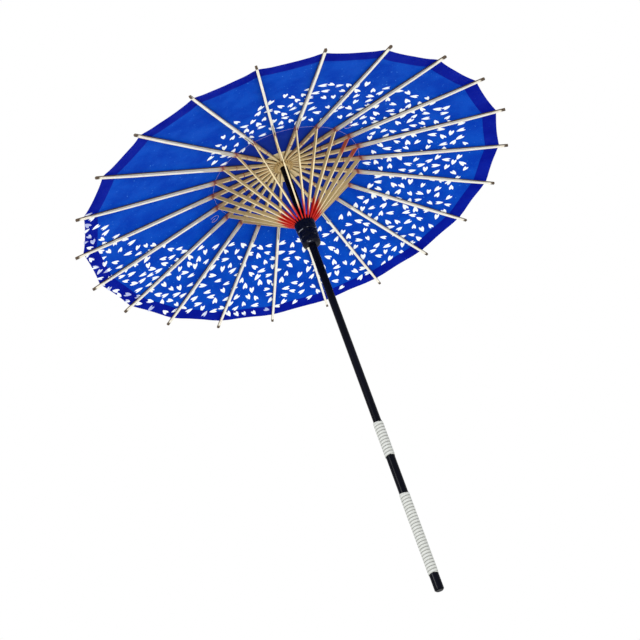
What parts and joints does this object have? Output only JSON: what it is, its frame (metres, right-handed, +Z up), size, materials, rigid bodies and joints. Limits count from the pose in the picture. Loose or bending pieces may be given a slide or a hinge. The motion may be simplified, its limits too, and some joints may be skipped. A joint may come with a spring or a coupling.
{
  "type": "paper parasol",
  "caption": "Open paper parasol with bamboo ribs and stretchers, a black lacquered shaft with two rattan grips, a sliding runner and a petal-strewn blue canopy.",
  "frame": {"origin": "centre of the shaft's lower end face", "axes": "+Z up the shaft to the crown; +X under the first rib"},
  "size_m": [0.751, 0.7438, 0.8126],
  "materials": {
    "bamboo": "scraped natural bamboo, satin",
    "black_lacquer": "black gloss lacquer on wood",
    "turned_wood": "turned pale wood, oiled",
    "red_thread": "twisted red cotton thread",
    "pink_thread": "faded pink cotton thread",
    "hood_cord": "white cotton cord",
    "steel_pin": "plain steel wire",
    "rattan": "split rattan, off-white lacquer",
    "hood_paper": "blue oiled paper, pleated",
    "blue_paper": "dyed oiled paper with scattered white petals",
    "dark_blue_paper": "double layer of dyed oiled paper",
    "cream_paper": "undyed oiled paper"
  },
  "bodies": {
    "shaft_body": {"shaft": "black_lacquer", "head_hub": "turned_wood", "hub_peg": "bamboo", "hub_thread": "red_thread", "catch_pin": "steel_pin", "upper_grip_wrap": "rattan", "lower_grip_wrap": "rattan", "crown_cap": "hood_paper", "cap_cord": "hood_cord", "canopy": "blue_paper", "canopy_hem": "dark_blue_paper", "crown_disc": "cream_paper", "joint_thread": "pink_thread"},
    "runner_body": {"runner": "black_lacquer", "runner_thread": "red_thread"},
    "catch_body": {"spring_catch": "bamboo"},
    "rib_01": {"rib_01": "bamboo"},
    "rib_02": {"rib_02": "bamboo"},
    "rib_03": {"rib_03": "bamboo"},
    "rib_04": {"rib_04": "bamboo"},
    "rib_05": {"rib_05": "bamboo"},
    "rib_06": {"rib_06": "bamboo"},
    "rib_07": {"rib_07": "bamboo"},
    "rib_08": {"rib_08": "bamboo"},
    "rib_09": {"rib_09": "bamboo"},
    "rib_10": {"rib_10": "bamboo"},
    "rib_11": {"rib_11": "bamboo"},
    "rib_12": {"rib_12": "bamboo"},
    "rib_13": {"rib_13": "bamboo"},
    "rib_14": {"rib_14": "bamboo"},
    "rib_15": {"rib_15": "bamboo"},
    "rib_16": {"rib_16": "bamboo"},
    "rib_17": {"rib_17": "bamboo"},
    "rib_18": {"rib_18": "bamboo"},
    "rib_19": {"rib_19": "bamboo"},
    "rib_20": {"rib_20": "bamboo"},
    "rib_21": {"rib_21": "bamboo"},
    "rib_22": {"rib_22": "bamboo"},
    "stretcher_01": {"stretcher_01": "bamboo"},
    "stretcher_02": {"stretcher_02": "bamboo"},
    "stretcher_03": {"stretcher_03": "bamboo"},
    "stretcher_04": {"stretcher_04": "bamboo"},
    "stretcher_05": {"stretcher_05": "bamboo"},
    "stretcher_06": {"stretcher_06": "bamboo"},
    "stretcher_07": {"stretcher_07": "bamboo"},
    "stretcher_08": {"stretcher_08": "bamboo"},
    "stretcher_09": {"stretcher_09": "bamboo"},
    "stretcher_10": {"stretcher_10": "bamboo"},
    "stretcher_11": {"stretcher_11": "bamboo"},
    "stretcher_12": {"stretcher_12": "bamboo"},
    "stretcher_13": {"stretcher_13": "bamboo"},
    "stretcher_14": {"stretcher_14": "bamboo"},
    "stretcher_15": {"stretcher_15": "bamboo"},
    "stretcher_16": {"stretcher_16": "bamboo"},
    "stretcher_17": {"stretcher_17": "bamboo"},
    "stretcher_18": {"stretcher_18": "bamboo"},
    "stretcher_19": {"stretcher_19": "bamboo"},
    "stretcher_20": {"stretcher_20": "bamboo"},
    "stretcher_21": {"stretcher_21": "bamboo"},
    "stretcher_22": {"stretcher_22": "bamboo"}
  },
  "joints": [
    {"name": "runner_slide", "type": "slide", "parent": "shaft_body", "child": "runner_body", "axis": [0, 0, -1], "range_m": [0, 0.1404], "deforming": ["canopy", "canopy_hem", "crown_disc", "joint_thread", "spring_catch"]},
    {"name": "catch_press", "type": "hinge", "parent": "shaft_body", "child": "catch_body", "pos_m": [-0.00133, -0.00366, 0.592], "axis": [-0.9397, 0.342, 0], "range_deg": [0, 7], "stiffness_Nm_per_rad": 1},
    {"name": "rib_01_hinge", "type": "hinge", "parent": "shaft_body", "child": "rib_01", "pos_m": [0.014, 0, 0.7918], "axis": [0, 1, 0], "range_deg": [0, 74.3]},
    {"name": "stretcher_01_hinge", "type": "hinge", "parent": "rib_01", "child": "stretcher_01", "pos_m": [0.12712, 0, 0.76418], "axis": [0, -1, 0], "range_deg": [0, 123]},
    {"name": "rib_02_hinge", "type": "hinge", "parent": "shaft_body", "child": "rib_02", "pos_m": [0.01343, 0.00394, 0.7918], "axis": [-0.2817, 0.9595, 0], "range_deg": [0, 74.3]},
    {"name": "stretcher_02_hinge", "type": "hinge", "parent": "rib_02", "child": "stretcher_02", "pos_m": [0.12198, 0.03582, 0.76418], "axis": [0.2817, -0.9595, 0], "range_deg": [0, 123]},
    {"name": "rib_03_hinge", "type": "hinge", "parent": "shaft_body", "child": "rib_03", "pos_m": [0.01178, 0.00757, 0.7918], "axis": [-0.5406, 0.8413, 0], "range_deg": [0, 74.3]},
    {"name": "stretcher_03_hinge", "type": "hinge", "parent": "rib_03", "child": "stretcher_03", "pos_m": [0.10694, 0.06873, 0.76418], "axis": [0.5406, -0.8413, 0], "range_deg": [0, 123]},
    {"name": "rib_04_hinge", "type": "hinge", "parent": "shaft_body", "child": "rib_04", "pos_m": [0.00917, 0.01058, 0.7918], "axis": [-0.7557, 0.6549, 0], "range_deg": [0, 74.3]},
    {"name": "stretcher_04_hinge", "type": "hinge", "parent": "rib_04", "child": "stretcher_04", "pos_m": [0.08325, 0.09607, 0.76418], "axis": [0.7557, -0.6549, 0], "range_deg": [0, 123]},
    {"name": "rib_05_hinge", "type": "hinge", "parent": "shaft_body", "child": "rib_05", "pos_m": [0.00582, 0.01273, 0.7918], "axis": [-0.9096, 0.4154, 0], "range_deg": [0, 74.3]},
    {"name": "stretcher_05_hinge", "type": "hinge", "parent": "rib_05", "child": "stretcher_05", "pos_m": [0.05281, 0.11564, 0.76418], "axis": [0.9096, -0.4154, 0], "range_deg": [0, 123]},
    {"name": "rib_06_hinge", "type": "hinge", "parent": "shaft_body", "child": "rib_06", "pos_m": [0.00199, 0.01386, 0.7918], "axis": [-0.9898, 0.1423, 0], "range_deg": [0, 74.3]},
    {"name": "stretcher_06_hinge", "type": "hinge", "parent": "rib_06", "child": "stretcher_06", "pos_m": [0.01809, 0.12583, 0.76418], "axis": [0.9898, -0.1423, 0], "range_deg": [0, 123]},
    {"name": "rib_07_hinge", "type": "hinge", "parent": "shaft_body", "child": "rib_07", "pos_m": [-0.00199, 0.01386, 0.7918], "axis": [-0.9898, -0.1423, 0], "range_deg": [0, 74.3]},
    {"name": "stretcher_07_hinge", "type": "hinge", "parent": "rib_07", "child": "stretcher_07", "pos_m": [-0.01809, 0.12583, 0.76418], "axis": [0.9898, 0.1423, 0], "range_deg": [0, 123]},
    {"name": "rib_08_hinge", "type": "hinge", "parent": "shaft_body", "child": "rib_08", "pos_m": [-0.00582, 0.01273, 0.7918], "axis": [-0.9096, -0.4154, 0], "range_deg": [0, 74.3]},
    {"name": "stretcher_08_hinge", "type": "hinge", "parent": "rib_08", "child": "stretcher_08", "pos_m": [-0.05281, 0.11564, 0.76418], "axis": [0.9096, 0.4154, 0], "range_deg": [0, 123]},
    {"name": "rib_09_hinge", "type": "hinge", "parent": "shaft_body", "child": "rib_09", "pos_m": [-0.00917, 0.01058, 0.7918], "axis": [-0.7557, -0.6549, 0], "range_deg": [0, 74.3]},
    {"name": "stretcher_09_hinge", "type": "hinge", "parent": "rib_09", "child": "stretcher_09", "pos_m": [-0.08325, 0.09607, 0.76418], "axis": [0.7557, 0.6549, 0], "range_deg": [0, 123]},
    {"name": "rib_10_hinge", "type": "hinge", "parent": "shaft_body", "child": "rib_10", "pos_m": [-0.01178, 0.00757, 0.7918], "axis": [-0.5406, -0.8413, 0], "range_deg": [0, 74.3]},
    {"name": "stretcher_10_hinge", "type": "hinge", "parent": "rib_10", "child": "stretcher_10", "pos_m": [-0.10694, 0.06873, 0.76418], "axis": [0.5406, 0.8413, 0], "range_deg": [0, 123]},
    {"name": "rib_11_hinge", "type": "hinge", "parent": "shaft_body", "child": "rib_11", "pos_m": [-0.01343, 0.00394, 0.7918], "axis": [-0.2817, -0.9595, 0], "range_deg": [0, 74.3]},
    {"name": "stretcher_11_hinge", "type": "hinge", "parent": "rib_11", "child": "stretcher_11", "pos_m": [-0.12198, 0.03582, 0.76418], "axis": [0.2817, 0.9595, 0], "range_deg": [0, 123]},
    {"name": "rib_12_hinge", "type": "hinge", "parent": "shaft_body", "child": "rib_12", "pos_m": [-0.014, 0, 0.7918], "axis": [0, -1, 0], "range_deg": [0, 74.3]},
    {"name": "stretcher_12_hinge", "type": "hinge", "parent": "rib_12", "child": "stretcher_12", "pos_m": [-0.12712, 0, 0.76418], "axis": [0, 1, 0], "range_deg": [0, 123]},
    {"name": "rib_13_hinge", "type": "hinge", "parent": "shaft_body", "child": "rib_13", "pos_m": [-0.01343, -0.00394, 0.7918], "axis": [0.2817, -0.9595, 0], "range_deg": [0, 74.3]},
    {"name": "stretcher_13_hinge", "type": "hinge", "parent": "rib_13", "child": "stretcher_13", "pos_m": [-0.12198, -0.03582, 0.76418], "axis": [-0.2817, 0.9595, 0], "range_deg": [0, 123]},
    {"name": "rib_14_hinge", "type": "hinge", "parent": "shaft_body", "child": "rib_14", "pos_m": [-0.01178, -0.00757, 0.7918], "axis": [0.5406, -0.8413, 0], "range_deg": [0, 74.3]},
    {"name": "stretcher_14_hinge", "type": "hinge", "parent": "rib_14", "child": "stretcher_14", "pos_m": [-0.10694, -0.06873, 0.76418], "axis": [-0.5406, 0.8413, 0], "range_deg": [0, 123]},
    {"name": "rib_15_hinge", "type": "hinge", "parent": "shaft_body", "child": "rib_15", "pos_m": [-0.00917, -0.01058, 0.7918], "axis": [0.7557, -0.6549, 0], "range_deg": [0, 74.3]},
    {"name": "stretcher_15_hinge", "type": "hinge", "parent": "rib_15", "child": "stretcher_15", "pos_m": [-0.08325, -0.09607, 0.76418], "axis": [-0.7557, 0.6549, 0], "range_deg": [0, 123]},
    {"name": "rib_16_hinge", "type": "hinge", "parent": "shaft_body", "child": "rib_16", "pos_m": [-0.00582, -0.01273, 0.7918], "axis": [0.9096, -0.4154, 0], "range_deg": [0, 74.3]},
    {"name": "stretcher_16_hinge", "type": "hinge", "parent": "rib_16", "child": "stretcher_16", "pos_m": [-0.05281, -0.11564, 0.76418], "axis": [-0.9096, 0.4154, 0], "range_deg": [0, 123]},
    {"name": "rib_17_hinge", "type": "hinge", "parent": "shaft_body", "child": "rib_17", "pos_m": [-0.00199, -0.01386, 0.7918], "axis": [0.9898, -0.1423, 0], "range_deg": [0, 74.3]},
    {"name": "stretcher_17_hinge", "type": "hinge", "parent": "rib_17", "child": "stretcher_17", "pos_m": [-0.01809, -0.12583, 0.76418], "axis": [-0.9898, 0.1423, 0], "range_deg": [0, 123]},
    {"name": "rib_18_hinge", "type": "hinge", "parent": "shaft_body", "child": "rib_18", "pos_m": [0.00199, -0.01386, 0.7918], "axis": [0.9898, 0.1423, 0], "range_deg": [0, 74.3]},
    {"name": "stretcher_18_hinge", "type": "hinge", "parent": "rib_18", "child": "stretcher_18", "pos_m": [0.01809, -0.12583, 0.76418], "axis": [-0.9898, -0.1423, 0], "range_deg": [0, 123]},
    {"name": "rib_19_hinge", "type": "hinge", "parent": "shaft_body", "child": "rib_19", "pos_m": [0.00582, -0.01273, 0.7918], "axis": [0.9096, 0.4154, 0], "range_deg": [0, 74.3]},
    {"name": "stretcher_19_hinge", "type": "hinge", "parent": "rib_19", "child": "stretcher_19", "pos_m": [0.05281, -0.11564, 0.76418], "axis": [-0.9096, -0.4154, 0], "range_deg": [0, 123]},
    {"name": "rib_20_hinge", "type": "hinge", "parent": "shaft_body", "child": "rib_20", "pos_m": [0.00917, -0.01058, 0.7918], "axis": [0.7557, 0.6549, 0], "range_deg": [0, 74.3]},
    {"name": "stretcher_20_hinge", "type": "hinge", "parent": "rib_20", "child": "stretcher_20", "pos_m": [0.08325, -0.09607, 0.76418], "axis": [-0.7557, -0.6549, 0], "range_deg": [0, 123]},
    {"name": "rib_21_hinge", "type": "hinge", "parent": "shaft_body", "child": "rib_21", "pos_m": [0.01178, -0.00757, 0.7918], "axis": [0.5406, 0.8413, 0], "range_deg": [0, 74.3]},
    {"name": "stretcher_21_hinge", "type": "hinge", "parent": "rib_21", "child": "stretcher_21", "pos_m": [0.10694, -0.06873, 0.76418], "axis": [-0.5406, -0.8413, 0], "range_deg": [0, 123]},
    {"name": "rib_22_hinge", "type": "hinge", "parent": "shaft_body", "child": "rib_22", "pos_m": [0.01343, -0.00394, 0.7918], "axis": [0.2817, 0.9595, 0], "range_deg": [0, 74.3]},
    {"name": "stretcher_22_hinge", "type": "hinge", "parent": "rib_22", "child": "stretcher_22", "pos_m": [0.12198, -0.03582, 0.76418], "axis": [-0.2817, -0.9595, 0], "range_deg": [0, 123]}
  ],
  "couplings": [
    {"joint": "rib_01_hinge", "follows": "runner_slide", "rad_per_m": 9.2301},
    {"joint": "stretcher_01_hinge", "follows": "runner_slide", "rad_per_m": 15.287},
    {"joint": "rib_02_hinge", "follows": "runner_slide", "rad_per_m": 9.2301},
    {"joint": "stretcher_02_hinge", "follows": "runner_slide", "rad_per_m": 15.287},
    {"joint": "rib_03_hinge", "follows": "runner_slide", "rad_per_m": 9.2301},
    {"joint": "stretcher_03_hinge", "follows": "runner_slide", "rad_per_m": 15.287},
    {"joint": "rib_04_hinge", "follows": "runner_slide", "rad_per_m": 9.2301},
    {"joint": "stretcher_04_hinge", "follows": "runner_slide", "rad_per_m": 15.287},
    {"joint": "rib_05_hinge", "follows": "runner_slide", "rad_per_m": 9.2301},
    {"joint": "stretcher_05_hinge", "follows": "runner_slide", "rad_per_m": 15.287},
    {"joint": "rib_06_hinge", "follows": "runner_slide", "rad_per_m": 9.2301},
    {"joint": "stretcher_06_hinge", "follows": "runner_slide", "rad_per_m": 15.287},
    {"joint": "rib_07_hinge", "follows": "runner_slide", "rad_per_m": 9.2301},
    {"joint": "stretcher_07_hinge", "follows": "runner_slide", "rad_per_m": 15.287},
    {"joint": "rib_08_hinge", "follows": "runner_slide", "rad_per_m": 9.2301},
    {"joint": "stretcher_08_hinge", "follows": "runner_slide", "rad_per_m": 15.287},
    {"joint": "rib_09_hinge", "follows": "runner_slide", "rad_per_m": 9.2301},
    {"joint": "stretcher_09_hinge", "follows": "runner_slide", "rad_per_m": 15.287},
    {"joint": "rib_10_hinge", "follows": "runner_slide", "rad_per_m": 9.2301},
    {"joint": "stretcher_10_hinge", "follows": "runner_slide", "rad_per_m": 15.287},
    {"joint": "rib_11_hinge", "follows": "runner_slide", "rad_per_m": 9.2301},
    {"joint": "stretcher_11_hinge", "follows": "runner_slide", "rad_per_m": 15.287},
    {"joint": "rib_12_hinge", "follows": "runner_slide", "rad_per_m": 9.2301},
    {"joint": "stretcher_12_hinge", "follows": "runner_slide", "rad_per_m": 15.287},
    {"joint": "rib_13_hinge", "follows": "runner_slide", "rad_per_m": 9.2301},
    {"joint": "stretcher_13_hinge", "follows": "runner_slide", "rad_per_m": 15.287},
    {"joint": "rib_14_hinge", "follows": "runner_slide", "rad_per_m": 9.2301},
    {"joint": "stretcher_14_hinge", "follows": "runner_slide", "rad_per_m": 15.287},
    {"joint": "rib_15_hinge", "follows": "runner_slide", "rad_per_m": 9.2301},
    {"joint": "stretcher_15_hinge", "follows": "runner_slide", "rad_per_m": 15.287},
    {"joint": "rib_16_hinge", "follows": "runner_slide", "rad_per_m": 9.2301},
    {"joint": "stretcher_16_hinge", "follows": "runner_slide", "rad_per_m": 15.287},
    {"joint": "rib_17_hinge", "follows": "runner_slide", "rad_per_m": 9.2301},
    {"joint": "stretcher_17_hinge", "follows": "runner_slide", "rad_per_m": 15.287},
    {"joint": "rib_18_hinge", "follows": "runner_slide", "rad_per_m": 9.2301},
    {"joint": "stretcher_18_hinge", "follows": "runner_slide", "rad_per_m": 15.287},
    {"joint": "rib_19_hinge", "follows": "runner_slide", "rad_per_m": 9.2301},
    {"joint": "stretcher_19_hinge", "follows": "runner_slide", "rad_per_m": 15.287},
    {"joint": "rib_20_hinge", "follows": "runner_slide", "rad_per_m": 9.2301},
    {"joint": "stretcher_20_hinge", "follows": "runner_slide", "rad_per_m": 15.287},
    {"joint": "rib_21_hinge", "follows": "runner_slide", "rad_per_m": 9.2301},
    {"joint": "stretcher_21_hinge", "follows": "runner_slide", "rad_per_m": 15.287},
    {"joint": "rib_22_hinge", "follows": "runner_slide", "rad_per_m": 9.2301},
    {"joint": "stretcher_22_hinge", "follows": "runner_slide", "rad_per_m": 15.287}
  ]
}
